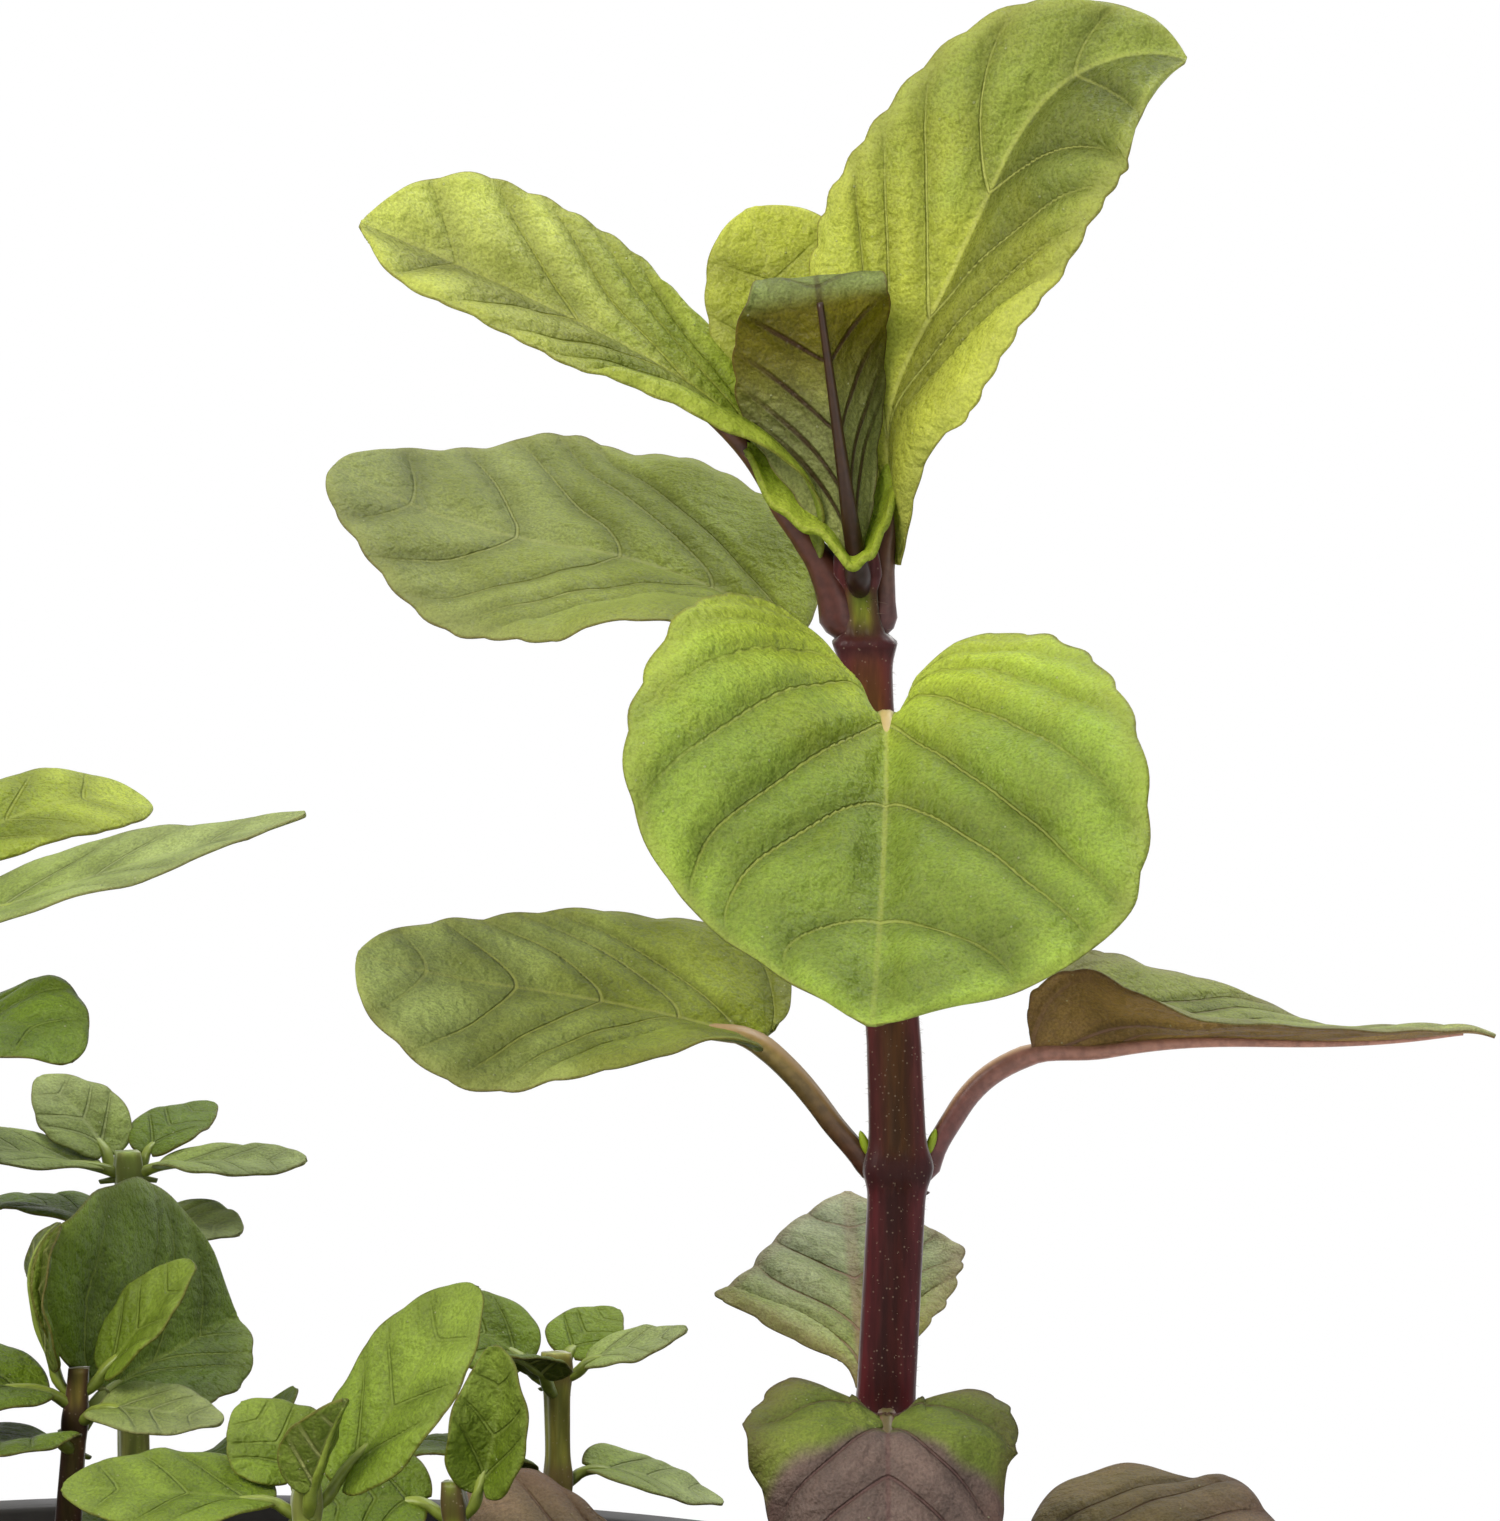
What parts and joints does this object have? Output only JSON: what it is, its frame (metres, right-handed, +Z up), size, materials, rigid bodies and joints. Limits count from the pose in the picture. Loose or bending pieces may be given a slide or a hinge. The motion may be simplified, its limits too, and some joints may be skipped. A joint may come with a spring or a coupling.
{
  "type": "potted water mint",
  "caption": "Pot of water mint: a tall leafy shoot with opposite oval leaves, a second tall shoot and several young ones, growing from soil in a round tapered pot.",
  "frame": {"origin": "middle of the pot's flat underside, where it stands", "axes": "+Z up along the pot, +X to the right of the plant's front, +Y towards its back"},
  "size_m": [0.1545, 0.132, 0.2132],
  "materials": {
    "pot_plastic": "satin moulded polypropylene",
    "potting_soil": "matte, crumbly peat and bark",
    "stem_purple": "satin skin with fine pale hairs",
    "stem_green": "satin skin with fine pale hairs",
    "leaf_yellow_green": "soft satin, thin and translucent",
    "leaf_green": "soft satin, quilted between the veins",
    "leaf_grey_green": "soft satin with a pale bloom",
    "leaf_dark": "satin, shaded green",
    "leaf_purple": "satin, green flushed with purple brown"
  },
  "bodies": {
    "root": {"nursery_pot": "pot_plastic", "soil": "potting_soil", "main_stem": "stem_purple", "left_tall_stem": "stem_purple", "young_round_stem": "stem_purple", "back_rosette_stem": "stem_green", "bright_front_stem": "stem_green", "small_back_stem": "stem_green", "curled_dark_stem": "stem_green", "upper_right_leaf": "leaf_yellow_green", "upper_left_leaf": "leaf_yellow_green", "top_back_leaf": "leaf_yellow_green", "left_shoot_yellow_leaf": "leaf_yellow_green", "left_shoot_upper_far_leaf": "leaf_yellow_green", "left_shoot_top_leaf_1": "leaf_yellow_green", "left_shoot_top_leaf_2": "leaf_yellow_green", "curled_leaf": "leaf_yellow_green", "bright_tall_leaf": "leaf_yellow_green", "heart_leaf": "leaf_green", "middle_left_leaf": "leaf_green", "back_left_leaf": "leaf_green", "lower_back_leaf": "leaf_green", "left_shoot_far_leaf": "leaf_green", "left_shoot_back_leaf": "leaf_green", "bright_left_leaf": "leaf_green", "bright_round_leaf": "leaf_green", "bright_low_leaf": "leaf_green", "small_back_left_leaf": "leaf_green", "small_back_centre_leaf": "leaf_green", "round_leaf": "leaf_green", "young_small_right_leaf": "leaf_green", "left_shoot_long_leaf": "leaf_grey_green", "rosette_left_leaf": "leaf_grey_green", "rosette_right_leaf": "leaf_grey_green", "rosette_upper_left_leaf": "leaf_grey_green", "rosette_low_right_leaf": "leaf_grey_green", "small_back_right_leaf": "leaf_grey_green", "small_back_low_right_leaf": "leaf_grey_green", "young_low_right_leaf": "leaf_grey_green", "top_front_leaf": "leaf_dark", "left_shoot_dark_leaf": "leaf_dark", "rosette_upper_right_leaf": "leaf_dark", "rosette_low_left_leaf": "leaf_dark", "young_small_left_leaf": "leaf_dark", "young_left_leaf": "leaf_dark", "young_low_left_leaf": "leaf_dark", "young_bottom_leaf": "leaf_dark", "bright_folded_leaf": "leaf_dark", "small_back_front_leaf": "leaf_dark", "small_back_low_left_leaf": "leaf_dark", "curled_left_leaf": "leaf_dark", "curled_low_right_leaf": "leaf_dark", "curled_low_left_leaf": "leaf_dark", "middle_right_leaf": "leaf_purple", "lower_front_leaf": "leaf_purple", "bottom_right_leaf": "leaf_purple", "bottom_left_leaf": "leaf_purple"}
  },
  "joints": []
}
